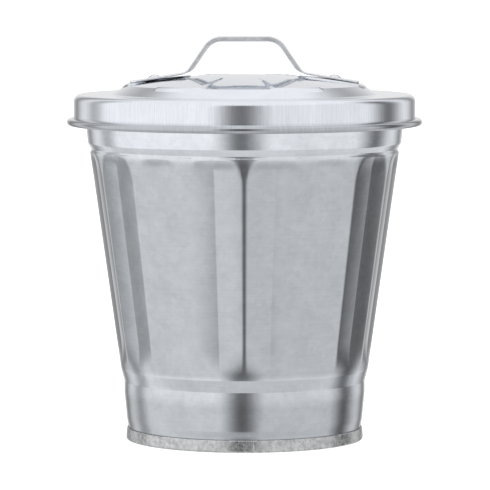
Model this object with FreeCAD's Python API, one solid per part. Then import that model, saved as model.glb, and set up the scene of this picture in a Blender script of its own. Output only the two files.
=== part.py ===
import FreeCAD, Part
import math
import os

# Small galvanised waste can with a loose lift-off lid. Millimetres, +Z up.
# The origin is on the floor, at the middle of the foot. The handle runs along X.

# Sheets and wires
WALL_SHEET = 0.4
BASE_SHEET = 0.4
HOOP_SHEET = 0.5
LID_SHEET = 0.4
CAN_WIRE_RADIUS = 1.2
LID_WIRE_RADIUS = 1.2

# Foot: a folded hoop grips the wall's bottom edge and the base pan's flange
FOOT_RADIUS = 52.5
HOOP_SPREAD = 0.7
HOOP_LEAN = 0.35
HOOP_HEIGHT = 5.5
HOOP_BEVEL = 0.9
HOOP_INNER_HEIGHT = 3.0
HOOP_CLOSE_BEND = 0.1
HOOP_ROUND_BEND = 0.4
HOOP_JOINT_GAP = 0.3
HOOP_JOINT_ANGLE = -85.6
PAN_RECESS = 4.0
PAN_BEND = 1.0
FOLD_GAP = 0.05

# Can wall, outer face, from the hoop up: band, step, flutes, step, neck
BAND_FLARE_HEIGHT = 16.0
BAND_FLARE = 1.9
BAND_FLARE_BEND = 6.0
BAND_UPRIGHT_HEIGHT = 5.1
BAND_SHOULDER_BEND = 4.0
LOWER_STEP_HEIGHT = 5.4
LOWER_STEP_OUT = 1.46
LOWER_STEP_LAND = 1.0
LOWER_STEP_BEND = 0.8
FLUTE_HEIGHT = 96.8
WALL_TAPER = 0.1405
NECK_LEDGE = 1.6
NECK_LEDGE_RISE = 0.6
NECK_LEDGE_BEND = 0.5
NECK_STEP_HEIGHT = 4.2
NECK_STEP_OUT = 1.0
NECK_STEP_BEND = 1.5
NECK_HEIGHT = 21.2
NECK_TAPER = 0.10

# Pressed flutes round the wall
FLUTE_COUNT = 16
FLUTE_DEPTH = 1.25
FLUTE_FOOT_FADE = 30.0
FLUTE_HEAD_FADE = 8.0
RIDGE_SHARE = 0.12
RIDGE_SLOPE = 8.5
VALLEY_SLOPE = 3.0

# Lid, outer face
LID_REST_GAP = 0.2
LID_SKIRT_CLEARANCE = 0.98
LID_SKIRT_DEPTH = 12.5
LID_SHOULDER_BEND = 3.2
LID_RING_WIDTH = 16.7
LID_RING_FALL = 0.05
LID_RISE_WIDTH = 7.1
LID_RISE = 4.05
LID_CREST_BEND = 1.5
LID_CROWN = 4.8
LID_CROWN_BEND_SHARE = 0.94
LID_LIP_FLARE = 0.3
LID_LIP_RISE = 2.7
LID_LIP_BEND = 4.0

# Raised panels pressed in the lid
PANEL_COUNT = 6
PANEL_RAISE = 0.6
PANEL_INNER_RADIUS = 24.0
PANEL_OVERRUN = 1.9
PANEL_HALF_ANGLE = 13.5
PANEL_TURN = -3.75
PANEL_CORNER = 2.0

# Handle strap: two riveted pads, two legs and a grip with its edges folded down
STRAP_SHEET = 0.8
STRAP_WIDTH = 14.0
STRAP_EDGE_DEPTH = 1.9
STRAP_EDGE_WIDTH = 0.9
STRAP_TIP_MARGIN = 1.7
STRAP_TIP_CORNER = 3.0
GRIP_HEIGHT = 17.1
GRIP_HALF_LENGTH = 15.0
GRIP_BEND = 9.0
LEG_FOOT_REACH = 26.0
LEG_FOOT_BEND = 5.0
EDGE_FOOT_SHARE = 0.25
PAD_TILT = 1.2
PAD_GAP = 0.08

# Rivets
RIVET_TIP_MARGIN = 10.9
RIVET_HEAD_RADIUS = 2.8
RIVET_HEAD_HEIGHT = 1.3
RIVET_SHANK_RADIUS = 1.25
RIVET_TAIL_RADIUS = 2.2
RIVET_TAIL_HEIGHT = 0.9

# Worked out from the sizes above
BAND_RADIUS = FOOT_RADIUS + BAND_FLARE
BAND_SHOULDER = HOOP_HEIGHT + BAND_FLARE_HEIGHT
BAND_TOP = BAND_SHOULDER + BAND_UPRIGHT_HEIGHT
LOWER_STEP_TOP = BAND_TOP + LOWER_STEP_HEIGHT
LOWER_STEP_RADIUS = BAND_RADIUS + LOWER_STEP_OUT
FLUTE_BOTTOM = LOWER_STEP_TOP + LOWER_STEP_LAND
FLUTE_BOTTOM_RADIUS = LOWER_STEP_RADIUS + WALL_TAPER * LOWER_STEP_LAND
FLUTE_TOP = FLUTE_BOTTOM + FLUTE_HEIGHT
FLUTE_TOP_RADIUS = FLUTE_BOTTOM_RADIUS + WALL_TAPER * FLUTE_HEIGHT
NECK_BOTTOM = FLUTE_TOP + NECK_STEP_HEIGHT
NECK_RADIUS = FLUTE_TOP_RADIUS + NECK_STEP_OUT
CAN_HEIGHT = NECK_BOTTOM + NECK_HEIGHT
RIM_RADIUS = NECK_RADIUS + NECK_TAPER * NECK_HEIGHT + CAN_WIRE_RADIUS
RIM_HEIGHT = CAN_HEIGHT - CAN_WIRE_RADIUS - WALL_SHEET
SKIRT_RADIUS = RIM_RADIUS + CAN_WIRE_RADIUS + WALL_SHEET + LID_SKIRT_CLEARANCE + LID_SHEET
SKIRT_TOP = CAN_HEIGHT + LID_REST_GAP + LID_SHEET
LIP_HEIGHT = SKIRT_TOP - LID_SKIRT_DEPTH
LIP_RADIUS = SKIRT_RADIUS + LID_LIP_FLARE + LID_WIRE_RADIUS
LID_RISE_RADIUS = SKIRT_RADIUS - LID_RING_WIDTH
LID_DOME_RADIUS = LID_RISE_RADIUS - LID_RISE_WIDTH
RISE_BOTTOM = SKIRT_TOP - LID_RING_FALL
DOME_BOTTOM = RISE_BOTTOM + LID_RISE
DOME_TOP = DOME_BOTTOM + LID_CROWN
DOME_SPHERE = (LID_DOME_RADIUS ** 2 + LID_CROWN ** 2) / (2 * LID_CROWN)
STRAP_TIP_REACH = LID_DOME_RADIUS - STRAP_TIP_MARGIN
RIVET_REACH = STRAP_TIP_REACH - RIVET_TIP_MARGIN


def point(radius, height):
    """A point in the XZ plane."""
    return FreeCAD.Vector(radius, 0, height)


def line(start, end):
    return Part.LineSegment(start, end).toShape()


def offset_path(path, distance):
    """Shift each run of a path to its left by a distance; bends keep their centres."""
    shifted = []
    for index, (radius, height, bend) in enumerate(path):
        normals = []
        for first, second in ((index - 1, index), (index, index + 1)):
            if first >= 0 and second < len(path):
                run = (path[second][0] - path[first][0], path[second][1] - path[first][1])
                length = math.hypot(*run)
                normals.append((-run[1] / length, run[0] / length))
        if len(normals) == 1:
            normals.append(normals[0])
        (ax, az), (bx, bz) = normals
        scale = distance / (1 + ax * bx + az * bz)
        turn = ax * bz - az * bx
        new_bend = 0
        if bend:
            new_bend = bend - math.copysign(distance, turn)
        shifted.append((radius + (ax + bx) * scale, height + (az + bz) * scale, new_bend))
    return shifted


def path_edges(path):
    """Straight runs joined by tangent arcs, through (x, z, bend radius) corners."""
    edges = []
    start = point(path[0][0], path[0][1])
    for index in range(1, len(path) - 1):
        corner = point(path[index][0], path[index][1])
        back = (point(path[index - 1][0], path[index - 1][1]) - corner).normalize()
        ahead = (point(path[index + 1][0], path[index + 1][1]) - corner).normalize()
        bend = path[index][2]
        half_opening = back.getAngle(ahead) / 2
        if bend <= 0:
            edges.append(line(start, corner))
            start = corner
            continue
        reach = bend / math.tan(half_opening)
        middle = (back + ahead).normalize() * (bend / math.sin(half_opening) - bend)
        arc_start = corner + back * reach
        arc_end = corner + ahead * reach
        edges.append(line(start, arc_start))
        edges.append(Part.Arc(arc_start, corner + middle, arc_end).toShape())
        start = arc_end
    edges.append(line(start, point(path[-1][0], path[-1][1])))
    return edges


def sheet_face(path, thickness):
    """The section of a bent sheet whose left side is thickness away from the path."""
    inner = offset_path(path, thickness)
    edges = path_edges(path)
    edges.append(line(point(path[-1][0], path[-1][1]), point(inner[-1][0], inner[-1][1])))
    edges.extend(path_edges(inner))
    edges.append(line(point(inner[0][0], inner[0][1]), point(path[0][0], path[0][1])))
    return Part.Face(Part.Wire(Part.__sortEdges__(edges)))


def revolve(face):
    return face.revolve(FreeCAD.Vector(0, 0, 0), FreeCAD.Vector(0, 0, 1), 360)


def ring(radius, height, tube_radius):
    """A round ring about Z."""
    return Part.makeTorus(radius, tube_radius, FreeCAD.Vector(0, 0, height))


def curl(radius, height, wire_radius, sheet):
    """Sheet rolled right round a wire."""
    return ring(radius, height, wire_radius + sheet).cut(ring(radius, height, wire_radius))


def flute_drop(share):
    """Depth below the ridge, 0 to 1, at a share of the way from ridge to valley."""
    ridge = RIDGE_SLOPE * RIDGE_SHARE / 2
    flank = 1 - RIDGE_SHARE
    change = RIDGE_SLOPE - VALLEY_SLOPE
    whole = ridge + RIDGE_SLOPE * flank - change * flank / 2
    if share <= RIDGE_SHARE:
        return RIDGE_SLOPE * share * share / (2 * RIDGE_SHARE) / whole
    beyond = share - RIDGE_SHARE
    return (ridge + RIDGE_SLOPE * beyond - change * beyond * beyond / (2 * flank)) / whole


def flute_wire(height, ridge_radius, depth):
    """One closed section of the fluted wall: three arcs to each flute."""
    pitch = 2 * math.pi / FLUTE_COUNT
    half = pitch / 2

    def at(ridge_angle, share):
        radius = ridge_radius - depth * flute_drop(abs(share))
        angle = ridge_angle + share * half
        return FreeCAD.Vector(radius * math.cos(angle), radius * math.sin(angle), height)

    middle = (1 + RIDGE_SHARE) / 2
    edges = []
    for index in range(FLUTE_COUNT):
        angle = index * pitch
        for shares in ((-RIDGE_SHARE, 0, RIDGE_SHARE), (RIDGE_SHARE, middle, 1),
                       (-1, -middle, -RIDGE_SHARE)):
            turned = angle
            if shares[0] == -1:
                turned = angle + pitch
            start, through, end = [at(turned, share) for share in shares]
            edges.append(Part.Arc(start, through, end).toShape())
    return Part.Wire(edges)


def fluted_solid(inset):
    """The fluted length of the wall as a filled solid, its face set in by inset."""
    stations = ((0, 0), (FLUTE_FOOT_FADE, 1), (FLUTE_HEIGHT - FLUTE_HEAD_FADE, 1), (FLUTE_HEIGHT, 0))
    wires = []
    for rise, share in stations:
        radius = FLUTE_BOTTOM_RADIUS + WALL_TAPER * rise - inset
        wires.append(flute_wire(FLUTE_BOTTOM + rise, radius, FLUTE_DEPTH * share))
    return Part.makeLoft(wires, True, True)


def body_wall():
    """Tapered sheet wall: foot band, step, flutes, step, neck and rolled rim."""
    slant = WALL_SHEET * math.hypot(1, WALL_TAPER)
    lower_path = [
        (FOOT_RADIUS, HOOP_SHEET + FOLD_GAP, 0),
        (FOOT_RADIUS, HOOP_HEIGHT, BAND_FLARE_BEND),
        (BAND_RADIUS, BAND_SHOULDER, BAND_SHOULDER_BEND),
        (BAND_RADIUS, BAND_TOP, LOWER_STEP_BEND),
        (LOWER_STEP_RADIUS, LOWER_STEP_TOP, LOWER_STEP_BEND),
        (FLUTE_BOTTOM_RADIUS, FLUTE_BOTTOM, 0),
    ]
    lower = revolve(sheet_face(lower_path, WALL_SHEET))
    fluted = fluted_solid(0).cut(fluted_solid(slant))
    upper_path = [
        (FLUTE_TOP_RADIUS, FLUTE_TOP, 0),
        (FLUTE_TOP_RADIUS - NECK_LEDGE, FLUTE_TOP + NECK_LEDGE_RISE, NECK_LEDGE_BEND),
        (NECK_RADIUS, NECK_BOTTOM, NECK_STEP_BEND),
        (NECK_RADIUS + NECK_TAPER * (RIM_HEIGHT - NECK_BOTTOM), RIM_HEIGHT, 0),
    ]
    upper = revolve(sheet_face(upper_path, WALL_SHEET))
    rim = curl(RIM_RADIUS, RIM_HEIGHT, CAN_WIRE_RADIUS, WALL_SHEET)
    return lower.fuse([fluted, upper, rim])


def can_rim_wire():
    return ring(RIM_RADIUS, RIM_HEIGHT, CAN_WIRE_RADIUS)


def base_pan():
    """Recessed bottom with its edge turned down inside the wall."""
    flange_radius = FOOT_RADIUS - WALL_SHEET
    path = [
        (flange_radius, HOOP_SHEET + FOLD_GAP, 0),
        (flange_radius, PAN_RECESS, PAN_BEND),
        (0, PAN_RECESS, 0),
    ]
    return revolve(sheet_face(path, BASE_SHEET))


def base_hoop():
    """Channel folded round the foot, its ends butted together."""
    inside = FOOT_RADIUS - WALL_SHEET - BASE_SHEET - HOOP_SHEET
    outside = FOOT_RADIUS + HOOP_SPREAD + HOOP_SHEET
    path = [
        (inside, HOOP_INNER_HEIGHT, 0),
        (inside, 0, HOOP_SHEET + HOOP_CLOSE_BEND),
        (outside, 0, HOOP_SHEET + HOOP_ROUND_BEND),
        (outside - HOOP_LEAN, HOOP_HEIGHT - HOOP_BEVEL, HOOP_SHEET + HOOP_CLOSE_BEND),
        (FOOT_RADIUS + HOOP_SHEET, HOOP_HEIGHT, 0),
    ]
    hoop = revolve(sheet_face(path, HOOP_SHEET))
    joint = Part.makeBox(2 * outside, HOOP_JOINT_GAP, 3 * HOOP_HEIGHT,
                         FreeCAD.Vector(0, -HOOP_JOINT_GAP / 2, -HOOP_HEIGHT))
    joint.rotate(FreeCAD.Vector(0, 0, 0), FreeCAD.Vector(0, 0, 1), HOOP_JOINT_ANGLE)
    return hoop.cut(joint)


def upright_edges(block):
    """The straight edges of a block that run along Z."""
    return [edge for edge in block.Edges if round(abs(edge.tangentAt(edge.FirstParameter).z)) == 1]


def crown_path():
    """Outer face of the lid from the foot of its rise to its middle."""
    tangent = DOME_SPHERE * math.tan(math.asin(LID_DOME_RADIUS / DOME_SPHERE) / 2)
    return [
        (LID_RISE_RADIUS, RISE_BOTTOM, LID_CREST_BEND),
        (LID_DOME_RADIUS, DOME_BOTTOM, LID_CREST_BEND),
        (tangent, DOME_TOP, LID_CROWN_BEND_SHARE * DOME_SPHERE),
        (0, DOME_TOP, 0),
    ]


def panel_prism(margin):
    """Upright block with the plan of one raised panel, drawn in by margin."""
    inner = PANEL_INNER_RADIUS + margin
    outer = LID_DOME_RADIUS + PANEL_OVERRUN - margin
    corners = []
    for radius in (inner, outer):
        half = math.radians(PANEL_HALF_ANGLE) - margin / radius
        corners.append([FreeCAD.Vector(radius * math.cos(turn), radius * math.sin(turn), SKIRT_TOP)
                        for turn in (-half, 0, half)])
    low, high = corners
    outline = Part.Wire([
        Part.Arc(*low).toShape(),
        line(low[2], high[2]),
        Part.Arc(high[2], high[1], high[0]).toShape(),
        line(high[0], low[0]),
    ])
    block = Part.Face(outline).extrude(FreeCAD.Vector(0, 0, 3 * (LID_RISE + LID_CROWN)))
    return block.makeFillet(PANEL_CORNER - margin, upright_edges(block))


def panels(path, thickness, margin):
    """Every panel's share of a sheet whose outer face follows the path."""
    sheet = revolve(sheet_face(path, thickness))
    prism = panel_prism(margin)
    pieces = []
    for index in range(PANEL_COUNT):
        turned = prism.copy()
        angle = PANEL_TURN + index * 360.0 / PANEL_COUNT
        turned.rotate(FreeCAD.Vector(0, 0, 0), FreeCAD.Vector(0, 0, 1), angle)
        pieces.append(sheet.common(turned))
    return pieces


def lid_shell():
    """Pressed lid: lip rolled round its wire, skirt, ring, rise and panelled dome."""
    crown = crown_path()
    path = [
        (SKIRT_RADIUS + LID_LIP_FLARE, LIP_HEIGHT, 0),
        (SKIRT_RADIUS, LIP_HEIGHT + LID_LIP_RISE, LID_LIP_BEND),
        (SKIRT_RADIUS, SKIRT_TOP, LID_SHOULDER_BEND),
    ] + crown
    shell = revolve(sheet_face(path, LID_SHEET))
    lip = curl(LIP_RADIUS, LIP_HEIGHT, LID_WIRE_RADIUS, LID_SHEET)
    raised = offset_path(crown, -PANEL_RAISE)
    hollow = offset_path(crown, LID_SHEET - PANEL_RAISE)
    shell = shell.fuse([lip] + panels(raised, PANEL_RAISE + LID_SHEET / 2, 0))
    shell = shell.cut(panels(hollow, PANEL_RAISE + LID_SHEET / 2, LID_SHEET))
    return shell.cut([rivet_hole(side) for side in (-1, 1)])


def lid_rim_wire():
    return ring(LIP_RADIUS, LIP_HEIGHT, LID_WIRE_RADIUS)


def pad_slope():
    """Fall of the strap's pads, as a tangent."""
    return math.tan(math.asin(RIVET_REACH / DOME_SPHERE) + math.radians(PAD_TILT))


def pad_height(reach):
    """Height of a pad's underside at a distance from the middle."""
    drop = DOME_SPHERE - math.sqrt(DOME_SPHERE ** 2 - RIVET_REACH ** 2)
    at_rivet = DOME_TOP - drop + PANEL_RAISE + PAD_GAP
    return at_rivet + (RIVET_REACH - reach) * pad_slope()


def strap_path():
    """Underside of the strap from one tip to the other."""
    right = [
        (GRIP_HALF_LENGTH, DOME_TOP + GRIP_HEIGHT - STRAP_SHEET, GRIP_BEND),
        (LEG_FOOT_REACH, pad_height(LEG_FOOT_REACH), LEG_FOOT_BEND),
        (STRAP_TIP_REACH, pad_height(STRAP_TIP_REACH), 0),
    ]
    left = [(-reach, height, bend) for reach, height, bend in reversed(right)]
    return left + right


def edge_path():
    """Underside of the folded edges, which stop part way down each leg."""
    depth = STRAP_EDGE_DEPTH - STRAP_SHEET
    strap = strap_path()
    knee = strap[3]
    foot = strap[4]
    share = EDGE_FOOT_SHARE
    stop = (foot[0] + (knee[0] - foot[0]) * share, foot[1] + (knee[1] - foot[1]) * share, 0)
    path = [(-stop[0], stop[1], 0), strap[2], knee, stop]
    return offset_path(path, -depth)


def band(path, thickness, near, far):
    """A bent sheet lying between two distances along Y."""
    face = sheet_face(path, thickness)
    face.translate(FreeCAD.Vector(0, near, 0))
    return face.extrude(FreeCAD.Vector(0, far - near, 0))


def handle_strap():
    """Strap handle: pads, legs and a grip stiffened by folded edges."""
    half = STRAP_WIDTH / 2
    strap = band(strap_path(), STRAP_SHEET, -half, half)
    edge = edge_path()
    strap = strap.fuse([
        band(edge, STRAP_EDGE_DEPTH, -half, STRAP_EDGE_WIDTH - half),
        band(edge, STRAP_EDGE_DEPTH, half - STRAP_EDGE_WIDTH, half),
    ])
    blank = Part.makeBox(2 * STRAP_TIP_REACH, STRAP_WIDTH, 4 * GRIP_HEIGHT,
                         FreeCAD.Vector(-STRAP_TIP_REACH, -half, DOME_TOP - 2 * GRIP_HEIGHT))
    strap = strap.common(blank.makeFillet(STRAP_TIP_CORNER, upright_edges(blank)))
    return strap.cut([rivet_hole(side) for side in (-1, 1)]).removeSplitter()


def on_pad(shape, side):
    """Put a shape made about Z on the pad's underside at a rivet, square to the pad."""
    shape.rotate(FreeCAD.Vector(0, 0, 0), FreeCAD.Vector(0, 1, 0),
                 side * math.degrees(math.atan(pad_slope())))
    shape.translate(FreeCAD.Vector(side * RIVET_REACH, 0, pad_height(RIVET_REACH)))
    return shape


def rivet_hole(side):
    reach = STRAP_SHEET + LID_SHEET + PAD_GAP
    hole = Part.makeCylinder(RIVET_SHANK_RADIUS, 4 * reach, FreeCAD.Vector(0, 0, -2 * reach))
    return on_pad(hole, side)


def rivet(side):
    """Domed head on the strap, shank, and a flat tail closed under the lid."""
    sphere = (RIVET_HEAD_RADIUS ** 2 + RIVET_HEAD_HEIGHT ** 2) / (2 * RIVET_HEAD_HEIGHT)
    centre = STRAP_SHEET + RIVET_HEAD_HEIGHT - sphere
    block = Part.makeCylinder(RIVET_HEAD_RADIUS, RIVET_HEAD_HEIGHT,
                              FreeCAD.Vector(0, 0, STRAP_SHEET))
    head = Part.makeSphere(sphere, FreeCAD.Vector(0, 0, centre)).common(block)
    grip = LID_SHEET + 2 * PAD_GAP
    shank = Part.makeCylinder(RIVET_SHANK_RADIUS, STRAP_SHEET + grip, FreeCAD.Vector(0, 0, -grip))
    tail = Part.makeCylinder(RIVET_TAIL_RADIUS, RIVET_TAIL_HEIGHT,
                             FreeCAD.Vector(0, 0, -grip - RIVET_TAIL_HEIGHT))
    tail = tail.makeFillet(RIVET_TAIL_HEIGHT / 2, [tail.Edges[2]])
    return on_pad(head.fuse([shank, tail]).removeSplitter(), side)


def rivet_left():
    return rivet(-1)


def rivet_right():
    return rivet(1)


NODES = {
    "body_wall": body_wall,
    "can_rim_wire": can_rim_wire,
    "base_pan": base_pan,
    "base_hoop": base_hoop,
    "lid_shell": lid_shell,
    "lid_rim_wire": lid_rim_wire,
    "handle_strap": handle_strap,
    "rivet_left": rivet_left,
    "rivet_right": rivet_right,
}

os.makedirs("parts", exist_ok=True)
for name, make in NODES.items():
    make().exportStep("parts/%s.step" % name)
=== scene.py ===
import math

import bpy
import numpy as np
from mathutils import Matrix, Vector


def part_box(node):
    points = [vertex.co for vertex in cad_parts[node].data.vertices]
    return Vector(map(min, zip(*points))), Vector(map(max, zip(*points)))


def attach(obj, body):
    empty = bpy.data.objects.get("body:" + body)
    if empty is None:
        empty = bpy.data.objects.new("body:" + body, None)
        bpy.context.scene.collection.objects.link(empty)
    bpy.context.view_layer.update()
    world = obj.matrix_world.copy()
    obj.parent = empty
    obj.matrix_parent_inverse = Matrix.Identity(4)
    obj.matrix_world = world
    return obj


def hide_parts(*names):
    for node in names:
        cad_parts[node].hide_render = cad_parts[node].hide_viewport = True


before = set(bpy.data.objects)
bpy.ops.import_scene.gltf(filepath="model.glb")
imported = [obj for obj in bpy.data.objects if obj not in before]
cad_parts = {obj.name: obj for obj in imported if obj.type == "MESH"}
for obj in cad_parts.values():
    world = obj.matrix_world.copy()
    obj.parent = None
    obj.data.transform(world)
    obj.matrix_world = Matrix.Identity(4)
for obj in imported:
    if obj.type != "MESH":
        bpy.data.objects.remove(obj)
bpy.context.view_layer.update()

MM = 0.001

# Sheets and wires
WALL_SHEET = 0.4 * MM
LID_SHEET = 0.4 * MM
HOOP_SHEET = 0.5 * MM
HOOP_INNER_LEAF = 1.3 * MM
HOOP_FACE_START = 0.75 * MM
HOOP_FACE_EASE = 0.3 * MM
HOOP_JOINT = math.radians(-85.6)
HOOP_JOINT_DEPTH = 0.22 * MM

# Can wall, outer face
FOOT_RADIUS = 52.5 * MM
BAND_RADIUS = 54.4 * MM
BAND_SHOULDER = 21.5 * MM
BAND_TOP = 26.6 * MM
LOWER_STEP_TOP = 32.0 * MM
FLUTE_BOTTOM = 33.0 * MM
FLUTE_BOTTOM_RADIUS = 56.0 * MM
FLUTE_TOP = 129.8 * MM
WALL_TAPER = 0.1405
NECK_LEDGE = 0.7 * MM
LEDGE_RISE = 1.3 * MM
NECK_BOTTOM = 134.0 * MM
NECK_RADIUS = 70.6 * MM
NECK_TAPER = 0.10
FOOT_FLARE = 0.75 * MM
FOOT_FLARE_RISE = 4.0 * MM

# Pressed flutes
FLUTE_COUNT = 16
FLUTE_DEPTH = 1.3 * MM
RIDGE_SHARE = 0.12
RIDGE_SLOPE = 8.5
VALLEY_SLOPE = 3.0
FLUTE_HEAD_FADE = 7.0 * MM
FLUTE_HEAD_ARCH = 13.0 * MM
FLUTE_HEAD_NARROW = 0.4
FLUTE_FOOT_START = 1.6 * MM
FLUTE_FOOT_FADE = 13.0 * MM

# Lid, outer face
LID_SHOULDER_BEND = 3.2 * MM
LID_RING_FALL = 0.05 * MM
LID_RISE_RADIUS = 60.2 * MM
LID_DOME_RADIUS = 53.1 * MM
LID_RISE = 4.05 * MM
LID_CREST_BEND = 1.5 * MM
SKIRT_TOP = 155.8 * MM
LIP_FLARE = 0.3 * MM
LIP_RISE = 2.7 * MM

LID_STEPS_ROUND = 384

# Panels pressed up in the lid
PANEL_COUNT = 6
PANEL_RAISE = 0.6 * MM
PANEL_INNER_RADIUS = 24.0 * MM
PANEL_OUTER_RADIUS = 55.3 * MM
PANEL_HALF_ANGLE = math.radians(13.5)
PANEL_TURN = math.radians(-3.75)
PANEL_CORNER = 2.6 * MM
PANEL_EDGE = 0.9 * MM

# Handle strap
STRAP_SHEET = 0.8 * MM
STRAP_EDGE_DROP = 1.5 * MM
STRAP_EDGE_WIDTH = 0.9 * MM
GRIP_HALF_LENGTH = 15.0 * MM
GRIP_BEND = 9.0 * MM
LEG_FOOT_REACH = 26.0 * MM
LEG_FOOT_BEND = 5.0 * MM
LEG_FOLD_START = 0.5 * MM
LEG_FOLD_RUN = 3.0 * MM
PAD_SLOPE = math.tan(math.radians(9.2))
STRAP_TIP_CORNER = 3.0 * MM
RIVET_HEAD_RADIUS = 2.8 * MM
RIVET_HEAD_HEIGHT = 1.3 * MM
RIVET_HEAD_RIM = 0.12 * MM
RIVET_SHANK = 1.2 * MM
RIVET_TAIL = 2.2 * MM
RIVET_TAIL_HEIGHT = 0.9 * MM
RIVET_SLACK = 0.16 * MM

# Places taken from the frame
WALL_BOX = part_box("body_wall")
HOOP_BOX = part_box("base_hoop")
LID_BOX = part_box("lid_shell")
CAN_WIRE_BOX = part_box("can_rim_wire")
LID_WIRE_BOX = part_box("lid_rim_wire")
STRAP_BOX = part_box("handle_strap")
RIVET_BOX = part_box("rivet_right")


# ---------------------------------------------------------------- outlines

def rounded(corners, arc_step=math.radians(9), run_step=None):
    """Points along straight runs joined by tangent arcs, from (across, up, bend) corners."""
    points = [np.array(corners[0][:2], float)]
    for index in range(1, len(corners) - 1):
        corner = np.array(corners[index][:2], float)
        back = np.array(corners[index - 1][:2], float) - corner
        ahead = np.array(corners[index + 1][:2], float) - corner
        back /= np.linalg.norm(back)
        ahead /= np.linalg.norm(ahead)
        opening = math.acos(float(np.clip(back @ ahead, -1, 1)))
        bend = corners[index][2]
        if bend <= 0 or math.pi - opening < 1e-4:
            points.append(corner)
            continue
        reach = bend / math.tan(opening / 2)
        toward = (back + ahead) / np.linalg.norm(back + ahead)
        centre = corner + toward * bend / math.sin(opening / 2)
        first = corner + back * reach - centre
        turn = math.pi - opening
        side = math.copysign(1, back[0] * ahead[1] - back[1] * ahead[0])
        steps = max(2, math.ceil(turn / arc_step))
        for step in range(steps + 1):
            angle = -side * turn * step / steps
            cos, sin = math.cos(angle), math.sin(angle)
            points.append(centre + np.array([first[0] * cos - first[1] * sin,
                                             first[0] * sin + first[1] * cos]))
    points.append(np.array(corners[-1][:2], float))
    if run_step:
        points = divided(points, run_step)
    return points


def divided(points, step):
    """The same outline with no run longer than step."""
    result = [points[0]]
    for start, end in zip(points, points[1:]):
        count = max(1, math.ceil(np.linalg.norm(end - start) / step))
        for index in range(1, count + 1):
            result.append(start + (end - start) * index / count)
    return result


def arc(centre, radius, start, end, steps):
    """Points on a circle between two angles in degrees, both ends included."""
    angles = np.radians(np.linspace(start, end, steps + 1))
    return [np.array([centre[0] + radius * math.cos(a), centre[1] + radius * math.sin(a)])
            for a in angles]


def shifted(points, distance):
    """An open outline moved sideways to its left."""
    points = np.array(points)
    along = np.gradient(points, axis=0)
    along /= np.linalg.norm(along, axis=1)[:, None]
    return list(points + np.column_stack([-along[:, 1], along[:, 0]]) * distance)


# ---------------------------------------------------------------- meshes

def new_piece(name, vertices, faces, material):
    mesh = bpy.data.meshes.new(name)
    mesh.from_pydata([tuple(v) for v in vertices], [], faces)
    mesh.materials.append(material)
    mesh.polygons.foreach_set("use_smooth", [True] * len(mesh.polygons))
    mesh.update()
    piece = bpy.data.objects.new(name, mesh)
    bpy.context.scene.collection.objects.link(piece)
    return piece


def turned(name, section, angles, material, pressed=None):
    """A closed section of (radius, height) points turned right round Z.

    A section that starts and ends on the axis is closed with a pole at each end.
    pressed(radius, height, angle) may move the points of the finished surface.
    """
    section = np.array(section)
    angles = np.asarray(angles)
    poles = section[0][0] < 1e-9
    rings = section[1:-1] if poles else section
    radius = np.repeat(rings[:, 0][:, None], len(angles), axis=1)
    height = np.repeat(rings[:, 1][:, None], len(angles), axis=1)
    around = np.repeat(angles[None, :], len(rings), axis=0)
    if pressed:
        radius, height = pressed(radius, height, around)
    grid = np.stack([radius * np.cos(around), radius * np.sin(around), height], axis=-1)
    vertices = list(grid.reshape(-1, 3))
    count = len(angles)
    last = len(rings) if not poles else len(rings) - 1
    faces = []
    for ring in range(last):
        low = ring * count
        high = (ring + 1) % len(rings) * count
        for step in range(count):
            beside = (step + 1) % count
            faces.append((low + step, low + beside, high + beside, high + step))
    if poles:
        for end, ring in ((0, 0), (-1, len(rings) - 1)):
            pole = len(vertices)
            vertices.append((0, 0, section[end][1]))
            for step in range(count):
                pair = (ring * count + step, ring * count + (step + 1) % count)
                faces.append((pole, pair[1], pair[0]) if end == 0 else (pole, pair[0], pair[1]))
    if signed_area(section) < 0:
        faces = [tuple(reversed(face)) for face in faces]
    return new_piece(name, vertices, faces, material)


def signed_area(section):
    """Positive when the section runs anticlockwise with radius to the right."""
    across, up = np.array(section).T
    return float(np.sum(across * np.roll(up, -1) - np.roll(across, -1) * up)) / 2


def even_angles(count):
    return np.linspace(0, 2 * math.pi, count, endpoint=False)


def flute_angles():
    """Steps round the can, closer together on each ridge and in each valley."""
    half = math.pi / FLUTE_COUNT
    shares = np.concatenate([
        np.linspace(0, 0.14, 5)[:-1],
        np.linspace(0.14, 0.92, 8)[:-1],
        np.linspace(0.92, 1.0, 3),
    ])
    one = np.concatenate([shares, 2 - shares[::-1][1:-1]]) * half
    return np.concatenate([one + index * 2 * half for index in range(FLUTE_COUNT)])


# ---------------------------------------------------------------- node trees

class Tree:
    """Short words for building a node tree."""

    def __init__(self, tree):
        self.tree = tree

    def node(self, kind, inputs=None, **settings):
        node = self.tree.nodes.new(kind)
        for key, value in settings.items():
            setattr(node, key, value)
        for key, value in (inputs or {}).items():
            self.feed(node.inputs[key], value)
        return node

    def feed(self, socket, value):
        if isinstance(value, bpy.types.NodeSocket):
            self.tree.links.new(value, socket)
        elif isinstance(value, bpy.types.Node):
            self.tree.links.new(value.outputs[0], socket)
        else:
            socket.default_value = value

    def maths(self, operation, *values, clamp=False):
        node = self.node("ShaderNodeMath", operation=operation, use_clamp=clamp)
        for index, value in enumerate(values):
            self.feed(node.inputs[index], value)
        return node.outputs[0]

    def spread(self, value, low, high, new_low=0.0, new_high=1.0, smooth=False):
        """Map a value from one range to another, held inside it."""
        node = self.node("ShaderNodeMapRange")
        if smooth:
            node.interpolation_type = "SMOOTHSTEP"
        for index, item in enumerate((value, low, high, new_low, new_high)):
            self.feed(node.inputs[index], item)
        return node.outputs[0]


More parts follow.
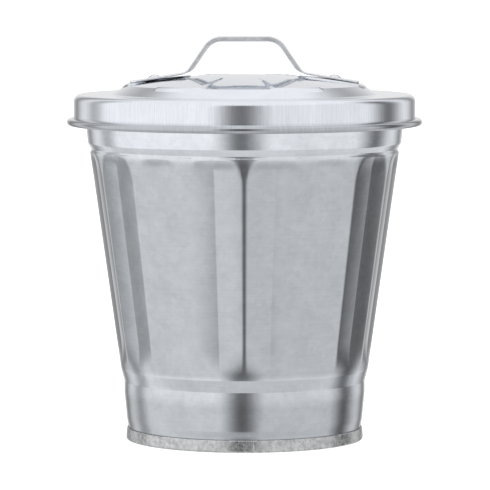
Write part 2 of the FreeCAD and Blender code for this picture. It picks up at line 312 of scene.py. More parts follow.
def geometry_tree(name, sizes):
    """An empty Geometry Nodes tree with named size inputs."""
    group = bpy.data.node_groups.new(name, "GeometryNodeTree")
    face = group.interface
    face.new_socket("Geometry", in_out="INPUT", socket_type="NodeSocketGeometry")
    for label, value in sizes.items():
        socket = face.new_socket(label, in_out="INPUT", socket_type="NodeSocketFloat")
        socket.default_value = value
    face.new_socket("Material", in_out="INPUT", socket_type="NodeSocketMaterial")
    face.new_socket("Geometry", in_out="OUTPUT", socket_type="NodeSocketGeometry")
    return group


def finish_tree(tree, entry, geometry):
    """Close a tree: realise, set the material, hand out."""
    real = tree.node("GeometryNodeRealizeInstances", {0: geometry})
    painted = tree.node("GeometryNodeSetMaterial", {0: real, "Material": entry.outputs["Material"]})
    tree.node("NodeGroupOutput", {0: painted})


def shaped_by(piece, group, sizes, material):
    """Run a piece through a node tree and keep the result as a plain mesh."""
    modifier = piece.modifiers.new(group.name, "NODES")
    modifier.node_group = group
    sockets = {item.name: item.identifier for item in group.interface.items_tree
               if item.in_out == "INPUT"}
    for label, value in sizes.items():
        modifier[sockets[label]] = value
    modifier[sockets["Material"]] = material
    bpy.context.view_layer.update()
    evaluated = piece.evaluated_get(bpy.context.evaluated_depsgraph_get())
    mesh = bpy.data.meshes.new_from_object(evaluated)
    piece.modifiers.clear()
    old = piece.data
    piece.data = mesh
    bpy.data.meshes.remove(old)
    mesh.name = piece.name
    mesh.polygons.foreach_set("use_smooth", [True] * len(mesh.polygons))
    mesh.update()
    return piece


def place_parts(tree):
    """Across, back and up, then radius from Z and angle round Z."""
    position = tree.node("GeometryNodeInputPosition").outputs[0]
    parts = tree.node("ShaderNodeSeparateXYZ", {0: position})
    x, y, z = parts.outputs
    radius = tree.maths("SQRT", tree.maths("ADD", tree.maths("MULTIPLY", x, x),
                                           tree.maths("MULTIPLY", y, y)))
    return x, y, z, radius, tree.maths("ARCTAN2", y, x)


def from_nearest(tree, angle, count):
    """Angle to the nearest of count even divisions of a turn, without its sign."""
    pitch = tree.maths("DIVIDE", 2 * math.pi, count)
    turns = tree.maths("DIVIDE", angle, pitch)
    return tree.maths("MULTIPLY", tree.maths("ABSOLUTE", tree.maths(
        "SUBTRACT", turns, tree.maths("ROUND", turns))), pitch)


def flute_tree():
    """Presses channels into a turned wall, leaving a ridge at each even division."""
    sizes = {"Flute Count": FLUTE_COUNT, "Depth": FLUTE_DEPTH, "Ridge Share": RIDGE_SHARE,
             "Ridge Slope": RIDGE_SLOPE, "Valley Slope": VALLEY_SLOPE,
             "Foot Height": FLUTE_BOTTOM + FLUTE_FOOT_START, "Foot Fade": FLUTE_FOOT_FADE,
             "Head Height": FLUTE_TOP + LEDGE_RISE, "Head Fade": FLUTE_HEAD_FADE,
             "Head Arch": FLUTE_HEAD_ARCH, "Head Narrow": FLUTE_HEAD_NARROW}
    group = geometry_tree("press_flutes", sizes)
    tree = Tree(group)
    entry = tree.node("NodeGroupInput")
    size = entry.outputs
    x, y, z, radius, angle = place_parts(tree)
    apart = from_nearest(tree, angle, size["Flute Count"])
    share = tree.maths("DIVIDE", tree.maths("MULTIPLY", apart, size["Flute Count"]), math.pi)

    def lost(run, length):
        """How much is missing at a distance from an end: 1 at the end, easing to 0."""
        left = tree.maths("SUBTRACT", 1.0, tree.maths("DIVIDE", run, length, clamp=True))
        return tree.maths("MULTIPLY", left, left)

    above_foot = tree.maths("SUBTRACT", z, size["Foot Height"])
    below_head = tree.maths("SUBTRACT", size["Head Height"], z)
    strength = tree.maths("MULTIPLY",
                          tree.maths("SUBTRACT", 1.0, lost(above_foot, size["Foot Fade"])),
                          tree.maths("SUBTRACT", 1.0, lost(below_head, size["Head Fade"])))
    width = tree.maths("SUBTRACT", 1.0, tree.maths("MULTIPLY", size["Head Narrow"],
                                                   lost(below_head, size["Head Arch"])))
    from_valley = tree.maths("DIVIDE", tree.maths("SUBTRACT", 1.0, share), width, clamp=True)
    share = tree.maths("SUBTRACT", 1.0, from_valley)

    ridge = size["Ridge Share"]
    flank = tree.maths("SUBTRACT", 1.0, ridge)
    steep = size["Ridge Slope"]
    change = tree.maths("SUBTRACT", steep, size["Valley Slope"])
    on_ridge = tree.maths("DIVIDE", tree.maths("MULTIPLY", steep, tree.maths("MULTIPLY", share, share)),
                          tree.maths("MULTIPLY", ridge, 2.0))

    def flank_drop(reach):
        straight = tree.maths("MULTIPLY", steep, reach)
        eased = tree.maths("DIVIDE", tree.maths("MULTIPLY", change, tree.maths("MULTIPLY", reach, reach)),
                           tree.maths("MULTIPLY", flank, 2.0))
        ridge_drop = tree.maths("MULTIPLY", tree.maths("MULTIPLY", steep, ridge), 0.5)
        return tree.maths("ADD", ridge_drop, tree.maths("SUBTRACT", straight, eased))

    past_ridge = tree.maths("GREATER_THAN", share, ridge)
    on_flank = flank_drop(tree.maths("SUBTRACT", share, ridge))
    drop = tree.maths("ADD", tree.maths("MULTIPLY", on_flank, past_ridge),
                      tree.maths("MULTIPLY", on_ridge, tree.maths("SUBTRACT", 1.0, past_ridge)))
    drop = tree.maths("DIVIDE", drop, flank_drop(flank))
    drop = tree.maths("MULTIPLY", tree.maths("MULTIPLY", drop, strength), size["Depth"])
    inward = tree.maths("DIVIDE", tree.maths("MULTIPLY", drop, -1.0), tree.maths("MAXIMUM", radius, 1e-4))
    push = tree.node("ShaderNodeCombineXYZ", {0: tree.maths("MULTIPLY", x, inward),
                                              1: tree.maths("MULTIPLY", y, inward)})
    moved = tree.node("GeometryNodeSetPosition", {0: size["Geometry"], "Offset": push})
    finish_tree(tree, entry, moved)
    return group, sizes


def panel_tree():
    """Raises rounded wedge panels in a turned lid."""
    sizes = {"Panel Count": PANEL_COUNT, "Raise": PANEL_RAISE, "Half Angle": PANEL_HALF_ANGLE,
             "Inner Radius": PANEL_INNER_RADIUS, "Outer Radius": PANEL_OUTER_RADIUS,
             "Corner": PANEL_CORNER, "Edge": PANEL_EDGE, "Turn": PANEL_TURN}
    group = geometry_tree("press_panels", sizes)
    tree = Tree(group)
    entry = tree.node("NodeGroupInput")
    size = entry.outputs
    radius, angle = place_parts(tree)[3:]
    apart = from_nearest(tree, tree.maths("SUBTRACT", angle, size["Turn"]), size["Panel Count"])
    to_side = tree.maths("MULTIPLY", tree.maths("SUBTRACT", size["Half Angle"], apart), radius)
    to_end = tree.maths("MINIMUM", tree.maths("SUBTRACT", radius, size["Inner Radius"]),
                        tree.maths("SUBTRACT", size["Outer Radius"], radius))
    corner = size["Corner"]
    side_lack = tree.maths("MAXIMUM", tree.maths("SUBTRACT", corner, to_side), 0.0)
    end_lack = tree.maths("MAXIMUM", tree.maths("SUBTRACT", corner, to_end), 0.0)
    lack = tree.maths("SQRT", tree.maths("ADD", tree.maths("MULTIPLY", side_lack, side_lack),
                                         tree.maths("MULTIPLY", end_lack, end_lack)))
    inside = tree.maths("SUBTRACT", corner, lack)
    rise = tree.maths("MULTIPLY", tree.spread(inside, 0.0, size["Edge"], smooth=True), size["Raise"])
    push = tree.node("ShaderNodeCombineXYZ", {2: rise})
    moved = tree.node("GeometryNodeSetPosition", {0: size["Geometry"], "Offset": push})
    finish_tree(tree, entry, moved)
    return group, sizes


# ---------------------------------------------------------------- finishes

def surface(name):
    """A new material, its tree and its shader."""
    material = bpy.data.materials.new(name)
    material.use_nodes = True
    tree = Tree(material.node_tree)
    shader = material.node_tree.nodes["Principled BSDF"]
    return material, tree, shader


def stretched(tree, scale):
    """Object coordinates scaled along each axis, for grain with a direction."""
    coordinates = tree.node("ShaderNodeTexCoord").outputs["Object"]
    mapping = tree.node("ShaderNodeMapping", {"Vector": coordinates})
    mapping.inputs["Scale"].default_value = scale
    return mapping.outputs[0]


def noise(tree, vector, scale=1.0, detail=2.0, roughness=0.5):
    return tree.node("ShaderNodeTexNoise", {"Vector": vector, "Scale": scale, "Detail": detail,
                                            "Roughness": roughness}).outputs["Fac"]


def round_the_axis(tree, around, along):
    """Coordinates that run fast round Z and slowly up it, whatever the radius."""
    coordinates = tree.node("ShaderNodeTexCoord").outputs["Object"]
    parts = tree.node("ShaderNodeSeparateXYZ", {0: coordinates}).outputs
    radius = tree.maths("SQRT", tree.maths("ADD", tree.maths("MULTIPLY", parts[0], parts[0]),
                                           tree.maths("MULTIPLY", parts[1], parts[1])))
    scale = tree.maths("DIVIDE", around, tree.maths("MAXIMUM", radius, 1e-4))
    return tree.node("ShaderNodeCombineXYZ", {
        0: tree.maths("MULTIPLY", parts[0], scale),
        1: tree.maths("MULTIPLY", parts[1], scale),
        2: tree.maths("MULTIPLY", parts[2], along)}).outputs[0]


def blend_colours(tree, amount, low, high):
    mix = tree.node("ShaderNodeMix", data_type="RGBA")
    tree.feed(mix.inputs[0], amount)
    tree.feed(mix.inputs[6], low)
    tree.feed(mix.inputs[7], high)
    return mix.outputs[2]


INSIDE_ZINC = (0.66, 0.68, 0.70, 1)
INSIDE_DULLING = 0.65
INSIDE_ROUGHNESS = 0.45


def facing_inwards(tree):
    """1 on faces that look towards the axis, such as the inside of the wall, and 0 elsewhere."""
    place = tree.node("ShaderNodeTexCoord").outputs
    flat = tree.node("ShaderNodeVectorMath", {0: place["Object"], 1: (1, 1, 0)}, operation="MULTIPLY")
    outwards = tree.node("ShaderNodeVectorMath", {0: flat}, operation="NORMALIZE")
    along = tree.node("ShaderNodeVectorMath", {0: outwards, 1: place["Normal"]}, operation="DOT_PRODUCT")
    return tree.spread(along.outputs["Value"], -0.5, -0.8)


def zinc(name, dark, light, roughness, grain, waviness=0.04 * MM, grain_height=0.0012 * MM,
         patch_scale=60.0, spangle_scale=210.0, spangle_share=0.35, speck_height=0.0008 * MM,
         line_share=0.3, grain_top=None, painted_light_bands=()):
    """Zinc-coated sheet: cloudy tone, faint spangle, directional grain and gentle waves.

    roughness is a (smooth, rough) pair; grain makes the coordinates of the grain;
    line_share is how much the grain shows in the tone, and it stops at grain_top;
    the last argument holds (height, colour factor) pairs going up the sheet: painted highlights and painted
    shade by height.
    """
    material, tree, shader = surface(name)
    even = stretched(tree, (1, 1, 1))
    clouds = noise(tree, even, patch_scale, 4.0, 0.6)
    cells = tree.node("ShaderNodeTexVoronoi", {"Vector": even, "Scale": spangle_scale})
    spangle = tree.node("ShaderNodeSeparateColor", {0: cells.outputs["Color"]}).outputs[0]
    lines = noise(tree, grain(tree), 1.0, 3.0, 0.65)
    level = tree.node("ShaderNodeSeparateXYZ", {0: even}).outputs[2]
    if grain_top:
        kept = tree.spread(level, grain_top, grain_top - 1.5 * MM)
        lines = tree.maths("ADD", 0.5, tree.maths("MULTIPLY", kept, tree.maths("SUBTRACT", lines, 0.5)))
    specks = noise(tree, even, 1300.0, 2.0, 0.6)

    tone = tree.maths("ADD", tree.maths("MULTIPLY", clouds, 1 - spangle_share),
                      tree.maths("MULTIPLY", spangle, spangle_share))
    tone = tree.maths("ADD", tree.maths("MULTIPLY", tone, 1 - line_share),
                      tree.maths("MULTIPLY", lines, line_share))
    tone = tree.spread(tone, 0.3, 0.7)
    colour = blend_colours(tree, tone, dark, light)
    # Painted light: the colour is multiplied by a ramp of brightness by height, as painted highlights and
    # painted shade.
    if painted_light_bands:
        place = tree.spread(level, 0.0, BAND_RANGE)
        ramp = tree.node("ShaderNodeValToRGB", {0: place})
        stops = ramp.color_ramp.elements
        for index, (level, share) in enumerate(painted_light_bands):
            stop = stops[index] if index < 2 else stops.new(level / BAND_RANGE)
            stop.position = level / BAND_RANGE
            stop.color = (share, share, share, 1)
        painted_light_multiply = tree.node("ShaderNodeMix", data_type="RGBA", blend_type="MULTIPLY")
        tree.feed(painted_light_multiply.inputs[0], 1.0)
        tree.feed(painted_light_multiply.inputs[6], colour)
        tree.feed(painted_light_multiply.inputs[7], ramp.outputs[0])
        colour = painted_light_multiply.outputs[2]
    inside = facing_inwards(tree)
    tree.feed(shader.inputs["Base Color"], blend_colours(tree, inside, colour, INSIDE_ZINC))
    dulling = tree.maths("MULTIPLY", inside, INSIDE_DULLING)
    tree.feed(shader.inputs["Metallic"], tree.maths("SUBTRACT", 1.0, dulling))

    rough = tree.maths("ADD", tree.maths("MULTIPLY", spangle, 0.3), tree.maths("MULTIPLY", lines, 0.4))
    rough = tree.maths("ADD", rough, tree.maths("MULTIPLY", clouds, 0.3))
    rough = tree.spread(rough, 0.3, 0.7, *roughness)
    matt = tree.maths("MULTIPLY", inside, INSIDE_ROUGHNESS)
    tree.feed(shader.inputs["Roughness"], tree.maths("MAXIMUM", rough, matt))

    waves = noise(tree, even, 55.0, 1.0, 0.4)
    height = tree.maths("MULTIPLY", waves, waviness)
    height = tree.maths("ADD", height, tree.maths("MULTIPLY", lines, grain_height))
    height = tree.maths("ADD", height, tree.maths("MULTIPLY", specks, speck_height))
    bump = tree.node("ShaderNodeBump", {"Height": height})
    bump.inputs["Strength"].default_value = 1.0
    bump.inputs["Distance"].default_value = 1.0
    tree.feed(shader.inputs["Normal"], bump.outputs[0])
    return material


def rolled_grain(tree):
    """Rolling marks that run round the can."""
    return round_the_axis(tree, 3.0, 2200.0)


def drawn_grain(tree):
    """Draw marks that run up the lid's skirt."""
    return round_the_axis(tree, 170.0, 60.0)


def turned_grain(tree):
    """Fine marks that run round a pan or a wire."""
    return round_the_axis(tree, 5.0, 1500.0)


def strip_grain(tree):
    """Grain that runs along the strap."""
    return stretched(tree, (90, 1800, 1800))


BAND_RANGE = 0.2
# Painted light on the wall: its colour is darkened over the foot, the lower band and the flutes as painted
# shade, and brightened from the band's shoulder over the lower step and at the neck as painted highlights.
WALL_PAINTED_SHADE = 0.66
WALL_PAINTED_LIGHT_BANDS = [(0, WALL_PAINTED_SHADE), (BAND_SHOULDER - 2 * MM, WALL_PAINTED_SHADE), (BAND_SHOULDER + 2 * MM, 0.8),
              (LOWER_STEP_TOP, 0.85), (FLUTE_BOTTOM + 1 * MM, WALL_PAINTED_SHADE),
              (FLUTE_TOP - 2 * MM, WALL_PAINTED_SHADE), (FLUTE_TOP, 0.9), (NECK_BOTTOM, 1)]
# Painted shade on the lid: the colour of the bottom 2.6 mm of the lip roll is darkened to 0.62, easing to
# full colour by 4.2 mm up.
LID_PAINTED_SHADE_BANDS = [(0, 0.62), (LID_BOX[0][2] + 2.6 * MM, 0.62), (LID_BOX[0][2] + 4.2 * MM, 1)]
WALL_ZINC = zinc("wall_zinc", (0.70, 0.73, 0.775, 1), (0.86, 0.895, 0.945, 1), (0.03, 0.10), rolled_grain,
                 waviness=0.06 * MM, patch_scale=95.0, spangle_scale=420.0, spangle_share=0.2,
                 speck_height=0.004 * MM, painted_light_bands=WALL_PAINTED_LIGHT_BANDS)
LID_ZINC = zinc("lid_zinc", (0.70, 0.725, 0.775, 1), (0.90, 0.93, 0.985, 1), (0.03, 0.08), drawn_grain,
                waviness=0.03 * MM, grain_height=0.0045 * MM, spangle_scale=420.0, spangle_share=0.12,
                line_share=0.7, grain_top=SKIRT_TOP - 0.5 * MM, painted_light_bands=LID_PAINTED_SHADE_BANDS)
HOOP_ZINC = zinc("hoop_zinc", (0.34, 0.35, 0.355, 1), (0.74, 0.75, 0.755, 1), (0.14, 0.34), drawn_grain,
                 waviness=0.07 * MM, grain_height=0.003 * MM, patch_scale=420.0, spangle_scale=900.0,
                 spangle_share=0.25, speck_height=0.006 * MM)
# Painted highlight: the strap's zinc has paler colours than the other sheets so that the strap reads
# brighter.
STRAP_PAINTED_BRIGHT_ZINC = zinc("strap_painted_bright_zinc", (0.84, 0.86, 0.89, 1), (0.97, 0.98, 1.0, 1), (0.30, 0.42), strip_grain,
                  patch_scale=140.0, spangle_scale=500.0, spangle_share=0.15)
RIVET_ZINC = zinc("rivet_zinc", (0.72, 0.74, 0.77, 1), (0.86, 0.88, 0.91, 1), (0.12, 0.22), strip_grain,
                  spangle_scale=700.0, spangle_share=0.15)
PAN_ZINC = zinc("pan_zinc", (0.44, 0.46, 0.47, 1), (0.62, 0.64, 0.65, 1), (0.20, 0.36), turned_grain,
                patch_scale=90.0, spangle_scale=420.0, spangle_share=0.2)
WIRE_STEEL = zinc("wire_steel", (0.34, 0.34, 0.34, 1), (0.48, 0.48, 0.48, 1), (0.25, 0.40), turned_grain)


# ---------------------------------------------------------------- the can

def wall_section():
    """Wall outline: outer face up, rim bead over the wire, inner face down."""
    wire = CAN_WIRE_BOX
    wire_radius = (wire[1][2] - wire[0][2]) / 2
    bead_centre = (wire[1][0] - wire_radius, wire[0][2] + wire_radius)
    bead = wire_radius + WALL_SHEET
    bead_foot = bead_centre[1] - bead * 0.6
    lower = rounded([
        (FOOT_RADIUS, WALL_BOX[0][2], 0),
        (FOOT_RADIUS, HOOP_BOX[1][2], 4 * MM),
        (FOOT_RADIUS + FOOT_FLARE, HOOP_BOX[1][2] + FOOT_FLARE_RISE, 12 * MM),
        (BAND_RADIUS, BAND_SHOULDER, 4 * MM),
        (BAND_RADIUS, BAND_TOP, 0.7 * MM),
        (FLUTE_BOTTOM_RADIUS - WALL_TAPER * (FLUTE_BOTTOM - LOWER_STEP_TOP), LOWER_STEP_TOP, 1.2 * MM),
        (FLUTE_BOTTOM_RADIUS, FLUTE_BOTTOM, 0),
    ], run_step=2.5 * MM)
    rises = np.concatenate([np.linspace(0.8, 19, 22), np.linspace(22, 80, 16), np.linspace(82, 95.8, 18)])
    flutes = [np.array([FLUTE_BOTTOM_RADIUS + WALL_TAPER * rise * MM, FLUTE_BOTTOM + rise * MM])
              for rise in rises]
    top_radius = FLUTE_BOTTOM_RADIUS + WALL_TAPER * (FLUTE_TOP - FLUTE_BOTTOM)
    upper = rounded([
        (top_radius - WALL_TAPER * 0.9 * MM, FLUTE_TOP - 0.9 * MM, 0),
        (top_radius, FLUTE_TOP, 1.4 * MM),
        (top_radius - NECK_LEDGE, FLUTE_TOP + LEDGE_RISE, 0.9 * MM),
        (NECK_RADIUS, NECK_BOTTOM, 1.5 * MM),
        (NECK_RADIUS + NECK_TAPER * (bead_foot - NECK_BOTTOM), bead_foot, 0),
    ], run_step=3.0 * MM)
    rim = arc(bead_centre, bead, -130, 175, 18)
    outer = lower + flutes + upper
    inner = shifted(outer, WALL_SHEET * 1.02)
    keep = [point for index, point in enumerate(reversed(inner)) if index % 2 == 0]
    keep.append(inner[0])
    return outer + rim + keep


def body_wall():
    wall = turned("body_wall_skin", wall_section(), flute_angles(), WALL_ZINC)
    group, sizes = flute_tree()
    shaped_by(wall, group, sizes, WALL_ZINC)
    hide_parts("body_wall")
    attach(wall, "can")
    return wall


def base_hoop():
    """Folded hoop, a little uneven from its forming, with a butt joint at the front."""
    outer = HOOP_BOX[1][0]
    top = HOOP_BOX[1][2]
    inside = FOOT_RADIUS - HOOP_INNER_LEAF
    outline = rounded([
        (inside, 3.0 * MM, 0),
        (inside, 0, 0.6 * MM),
        (outer, 0, 0.9 * MM),
        (outer - 0.35 * MM, top - 0.9 * MM, 0.5 * MM),
        (FOOT_RADIUS + HOOP_SHEET + 0.06 * MM, top, 0),
    ], math.radians(15), 0.8 * MM)
    section = outline + shifted(outline, HOOP_SHEET)[::-1]
    near = HOOP_JOINT + np.array([-0.9, -0.45, -0.25, -0.1, 0, 0.1, 0.25, 0.45, 0.9]) * 0.4 * MM / outer * 2
    angles = np.concatenate([even_angles(320), near])
    angles = np.unique(np.round(np.mod(angles, 2 * math.pi), 7))

    def pressed(radius, height, around):
        outside = np.clip((radius - FOOT_RADIUS - HOOP_FACE_START) / HOOP_FACE_EASE, 0, 1)
        dents = (np.sin(around * 23 + 1.3) + np.sin(around * 41 + height * 900) * 0.7
                 + np.sin(around * 67 + 2.1) * 0.5) * 0.012 * MM
        apart = np.abs(np.mod(around - HOOP_JOINT + math.pi, 2 * math.pi) - math.pi) * outer
        groove = np.clip(1 - apart / HOOP_JOINT_DEPTH, 0, 1) * HOOP_JOINT_DEPTH
        return radius + (dents - 0.03 * MM - groove) * outside, height

    hoop = turned("foot_hoop", section, angles, HOOP_ZINC, pressed)
    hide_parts("base_hoop")
    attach(hoop, "can")
    return hoop


# ---------------------------------------------------------------- the lid

def lid_section():
    """Lid outline from the middle of the top, over the lip, to the middle underneath."""
    wire = LID_WIRE_BOX
    wire_radius = (wire[1][2] - wire[0][2]) / 2
    lip_centre = (wire[1][0] - wire_radius, wire[0][2] + wire_radius)
    lip = wire_radius + LID_SHEET
    skirt = lip_centre[0] - wire_radius - LIP_FLARE
    dome_top = LID_BOX[1][2]
    rise_bottom = SKIRT_TOP - LID_RING_FALL
    dome_bottom = rise_bottom + LID_RISE
    crown = dome_top - dome_bottom
    sphere = (LID_DOME_RADIUS ** 2 + crown ** 2) / (2 * crown)
    dome = [np.array([reach, dome_top - sphere + math.sqrt(sphere ** 2 - reach ** 2)])
            for reach in np.concatenate([[0, 4, 9, 14, 19, 22], np.arange(23.4, 29, 0.5),
                                         np.arange(30.5, 46.5, 2), np.arange(47.4, 52.3, 0.4)]) * MM]
    fall = LID_RISE / (LID_RISE_RADIUS - LID_DOME_RADIUS)
    rest = rounded([
        (dome[-1][0], dome[-1][1], 0),
        (LID_DOME_RADIUS, dome_bottom, 0.7 * MM),
        (LID_DOME_RADIUS + 3 * MM, dome_bottom - 3 * MM * fall, 0),
        (LID_RISE_RADIUS, rise_bottom, LID_CREST_BEND),
        (skirt, SKIRT_TOP, LID_SHOULDER_BEND),
        (skirt, lip_centre[1] + LIP_RISE, 4 * MM),
        (skirt + LIP_FLARE * 0.8, lip_centre[1] + lip * 0.85, 0),
    ])
    rest = divided(rest[:12], 0.45 * MM) + divided(rest[12:], 3.0 * MM)
    outer = dome + rest[1:]
    rim = arc(lip_centre, lip, 128, -178, 26)
    inner = shifted(outer[::-1], LID_SHEET)
    inner[-1] = np.array([0, dome_top - LID_SHEET])
    return outer + rim + [point for point in inner if point[1] > lip_centre[1] + lip * 0.3]


def lid_shell():
    shell = turned("lid_skin", lid_section(), even_angles(LID_STEPS_ROUND), LID_ZINC)
    group, sizes = panel_tree()
    shaped_by(shell, group, sizes, LID_ZINC)
    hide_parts("lid_shell")
    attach(shell, "lid")
    return shell


def strap_line():
    """Underside of the strap from tip to tip, as (x, z) points."""
    tip = STRAP_BOX[1][0]
    grip = STRAP_BOX[1][2] - STRAP_SHEET
    tip_height = STRAP_BOX[0][2]
    foot_height = tip_height + (tip - LEG_FOOT_REACH) * PAD_SLOPE
    right = [(GRIP_HALF_LENGTH, grip, GRIP_BEND), (LEG_FOOT_REACH, foot_height, LEG_FOOT_BEND),
             (tip, tip_height, 0)]
    left = [(-x, z, bend) for x, z, bend in reversed(right)]
    return rounded(left + right, math.radians(6), 1.2 * MM)


def strap_outline(fold, half_width):
    """Section across the strap: flat sheet with soft edges, folded down by fold."""
    soft = STRAP_SHEET * 0.45
    lip = STRAP_EDGE_WIDTH
    drop = STRAP_EDGE_DROP * fold
    side = []
    for angle in np.linspace(90, 0, 5):
        side.append((half_width - soft + soft * math.cos(math.radians(angle)),
                     STRAP_SHEET - soft + soft * math.sin(math.radians(angle))))
    for angle in np.linspace(0, -180, 7):
        reach = lip / 2 if fold > 0 else soft
        side.append((half_width - reach + reach * math.cos(math.radians(angle)),
                     -drop + reach * 0.9 + reach * 0.9 * math.sin(math.radians(angle))))
    side.append((half_width - lip - 0.5 * MM, 0))
    right = [(half_width * 0.5, STRAP_SHEET)] + side + [(half_width * 0.5, 0)]
    left = [(-y, n) for y, n in reversed(right)]
    return right + [(0, 0)] + left + [(0, STRAP_SHEET)]


def handle_strap():
    line = np.array(strap_line())
    half_width = STRAP_BOX[1][1]
    along = np.gradient(line, axis=0)
    along /= np.linalg.norm(along, axis=1)[:, None]
    up = np.column_stack([-along[:, 1], along[:, 0]])
    tip = line[-1][0]
    vertices = []
    size = None
    for place, rise in zip(line, up):
        reach = abs(place[0])
        fold = float(np.clip((LEG_FOOT_REACH + LEG_FOLD_START - reach) / LEG_FOLD_RUN, 0, 1))
        fold = fold * fold * (3 - 2 * fold)
        short = max(0.0, STRAP_TIP_CORNER - (tip - reach))
        width = half_width - STRAP_TIP_CORNER + math.sqrt(STRAP_TIP_CORNER ** 2 - short ** 2 * 0.96)
        section = strap_outline(fold, width)
        size = len(section)
        for y, n in section:
            vertices.append((place[0] + rise[0] * n, y, place[1] + rise[1] * n))
    faces = []
    for index in range(len(line) - 1):
        low, high = index * size, (index + 1) * size
        for step in range(size):
            beside = (step + 1) % size
            faces.append((low + step, low + beside, high + beside, high + step))
    faces.append(tuple(reversed(range(size))))
    faces.append(tuple(range((len(line) - 1) * size, len(line) * size)))
    strap = new_piece("handle_strip", vertices, faces, STRAP_PAINTED_BRIGHT_ZINC)
    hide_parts("handle_strap")
    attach(strap, "lid")
    return strap


def rivet_tree(heads):
    """One head on each of the given places, tipped to sit square on its pad."""
    sizes = {"Reach": heads[0], "Height": heads[1], "Tip": heads[2]}
    group = geometry_tree("set_rivets", sizes)
    tree = Tree(group)
    entry = tree.node("NodeGroupInput")
    size = entry.outputs
    start = tree.node("ShaderNodeCombineXYZ", {0: tree.maths("MULTIPLY", size["Reach"], -1.0),
                                               2: size["Height"]})
    end = tree.node("ShaderNodeCombineXYZ", {0: size["Reach"], 2: size["Height"]})
    places = tree.node("GeometryNodeMeshLine", mode="END_POINTS")
    tree.feed(places.inputs["Count"], 2)
    tree.feed(places.inputs["Start Location"], start)
    tree.feed(places.inputs["Offset"], end)
    side = tree.node("ShaderNodeSeparateXYZ", {0: tree.node("GeometryNodeInputPosition")}).outputs[0]
    tip = tree.maths("MULTIPLY", tree.maths("SIGN", side), size["Tip"])
    turn = tree.node("ShaderNodeCombineXYZ", {1: tip})
    set_out = tree.node("GeometryNodeInstanceOnPoints", {"Points": places, "Instance": size["Geometry"],
                                                         "Rotation": turn})
    finish_tree(tree, entry, set_out)
    return group, sizes


def rivets():
    """Domed heads above the pads and flat tails under the lid, on one shank each."""
    sphere = (RIVET_HEAD_RADIUS ** 2 + RIVET_HEAD_HEIGHT ** 2) / (2 * RIVET_HEAD_HEIGHT)
    seat = STRAP_SHEET
    half = math.degrees(math.asin(RIVET_HEAD_RADIUS / sphere))
    dome = arc((0, seat + RIVET_HEAD_HEIGHT - sphere), sphere, 90, 90 - half, 10)
    grip = LID_SHEET + RIVET_SLACK
    tail_end = -grip - RIVET_TAIL_HEIGHT
    under = rounded([
        (RIVET_HEAD_RADIUS, seat, 0), (RIVET_SHANK, seat, 0.1 * MM), (RIVET_SHANK, -grip, 0.1 * MM),
        (RIVET_TAIL, -grip, 0.1 * MM), (RIVET_TAIL, tail_end, 0.4 * MM), (0, tail_end, 0),
    ], math.radians(20))
    dome[-1] = np.array([RIVET_HEAD_RADIUS, seat + RIVET_HEAD_RIM])
    head = turned("lid_rivets", dome + under, even_angles(40), RIVET_ZINC)
    reach = (RIVET_BOX[0][0] + RIVET_BOX[1][0]) / 2
    height = RIVET_BOX[1][2] - (STRAP_SHEET + RIVET_HEAD_HEIGHT)
    group, sizes = rivet_tree((reach, height, math.atan(PAD_SLOPE)))
    shaped_by(head, group, sizes, RIVET_ZINC)
    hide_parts("rivet_left", "rivet_right")
    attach(head, "lid")
    return head


def kept_nodes():
    """Nodes whose solids show as they are: only their finish changes."""
    for node, material in (("base_pan", PAN_ZINC), ("can_rim_wire", WIRE_STEEL),
                           ("lid_rim_wire", WIRE_STEEL)):
        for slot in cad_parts[node].material_slots:
            slot.material = material


body_wall()
base_hoop()
lid_shell()
handle_strap()
rivets()
kept_nodes()


# ---------------------------------------------------------------- floor, light, camera

FLOOR_REACH = 6.0
FLOOR_GLOW = 0.62


def pale(name, colour, roughness):
    material, tree, shader = surface(name)
    grain = noise(tree, stretched(tree, (1, 1, 1)), 40.0, 2.0)
    tree.feed(shader.inputs["Base Color"],
              blend_colours(tree, grain, colour, tuple(c * 0.99 for c in colour[:3]) + (1,)))
    shader.inputs["Roughness"].default_value = roughness
    shader.inputs["Emission Color"].default_value = (1, 1, 1, 1)
    shader.inputs["Emission Strength"].default_value = FLOOR_GLOW
    return material


def floor():
    """Wide pale floor that the metal doesn't mirror."""
    reach = FLOOR_REACH
    mesh = bpy.data.meshes.new("studio_floor")
    mesh.from_pydata([(-reach, -reach, 0), (reach, -reach, 0), (reach, reach, 0), (-reach, reach, 0)],
                     [], [(0, 1, 2, 3)])
    mesh.materials.append(pale("pale_floor", (0.92, 0.92, 0.92, 1), 0.6))
    plane = bpy.data.objects.new("studio_floor", mesh)
    bpy.context.scene.collection.objects.link(plane)
    plane.visible_glossy = False


# The studio is a dim room with soft upright panels, as (degrees from the camera's side,
# half width in degrees, light), a soft light overhead and a pale floor.
SOFT_PANELS = [(-65, 50, 0.65), (55, 45, 0.55), (-136, 12, 0.5), (136, 12, 0.5),
               (-180, 18, 0.5), (180, 18, 0.5)]
PANEL_SOFTNESS = 12.0
ROOM_LIGHT = 0.16
OVERHEAD_LIGHT = (0.8, 0.8, 0.8, 1)
OVERHEAD_RISE = (30.0, 55.0)
FLOOR_LIGHT = (0.6, 0.6, 0.6, 1)
FLOOR_FALL = (-22.0, -32.0)
STUDIO_STRENGTH = 1.25


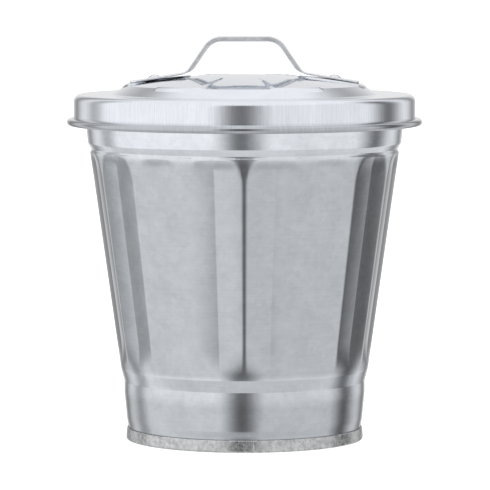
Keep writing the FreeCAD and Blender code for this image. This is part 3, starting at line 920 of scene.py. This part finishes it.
def panel_light(tree, turn):
    """Light met round the room: the dim walls and every panel in front of them."""
    light = ROOM_LIGHT
    for centre, half_width, strength in SOFT_PANELS:
        apart = tree.maths("ABSOLUTE", tree.maths("SUBTRACT", turn, centre))
        share = tree.spread(apart, half_width + PANEL_SOFTNESS, half_width - PANEL_SOFTNESS, smooth=True)
        light = tree.maths("ADD", light, tree.maths("MULTIPLY", share, strength))
    return light


def studio_light():
    """The room as the metal mirrors it, with plain white behind the object."""
    world = bpy.data.worlds.new("studio")
    bpy.context.scene.world = world
    world.use_nodes = True
    tree = Tree(world.node_tree)
    coordinates = tree.node("ShaderNodeTexCoord").outputs["Generated"]
    x, y, z = tree.node("ShaderNodeSeparateXYZ", {0: coordinates}).outputs
    turn = tree.maths("DEGREES", tree.maths("ARCTAN2", x, tree.maths("MULTIPLY", y, -1.0)))
    up = tree.maths("DEGREES", tree.maths("ARCSINE", z))
    light = panel_light(tree, turn)
    colour = tree.node("ShaderNodeCombineXYZ", {0: light, 1: light, 2: light})
    overhead = tree.spread(up, *OVERHEAD_RISE, smooth=True)
    colour = blend_colours(tree, overhead, colour, OVERHEAD_LIGHT)
    below = tree.spread(up, *FLOOR_FALL, smooth=True)
    colour = blend_colours(tree, below, colour, FLOOR_LIGHT)
    shown = tree.node("ShaderNodeLightPath").outputs["Is Camera Ray"]
    colour = blend_colours(tree, shown, colour, (1, 1, 1, 1))
    background = world.node_tree.nodes["Background"]
    tree.feed(background.inputs["Color"], colour)
    background.inputs["Strength"].default_value = STUDIO_STRENGTH


CAMERA_PLACE = (0.0002, -1.7469, 0.2271)
CAMERA_FALL = 0.0799
CAMERA_LENS = 285.2


def camera():
    """Long lens a little above the lid, looking slightly down."""
    data = bpy.data.cameras.new("view")
    data.lens = CAMERA_LENS
    data.sensor_width = 36
    eye = bpy.data.objects.new("view", data)
    eye.location = CAMERA_PLACE
    eye.rotation_euler = (math.pi / 2 - math.atan(CAMERA_FALL), 0, 0)
    bpy.context.scene.collection.objects.link(eye)
    bpy.context.scene.camera = eye
    bpy.context.scene.view_settings.view_transform = "Standard"


floor()
studio_light()
camera()
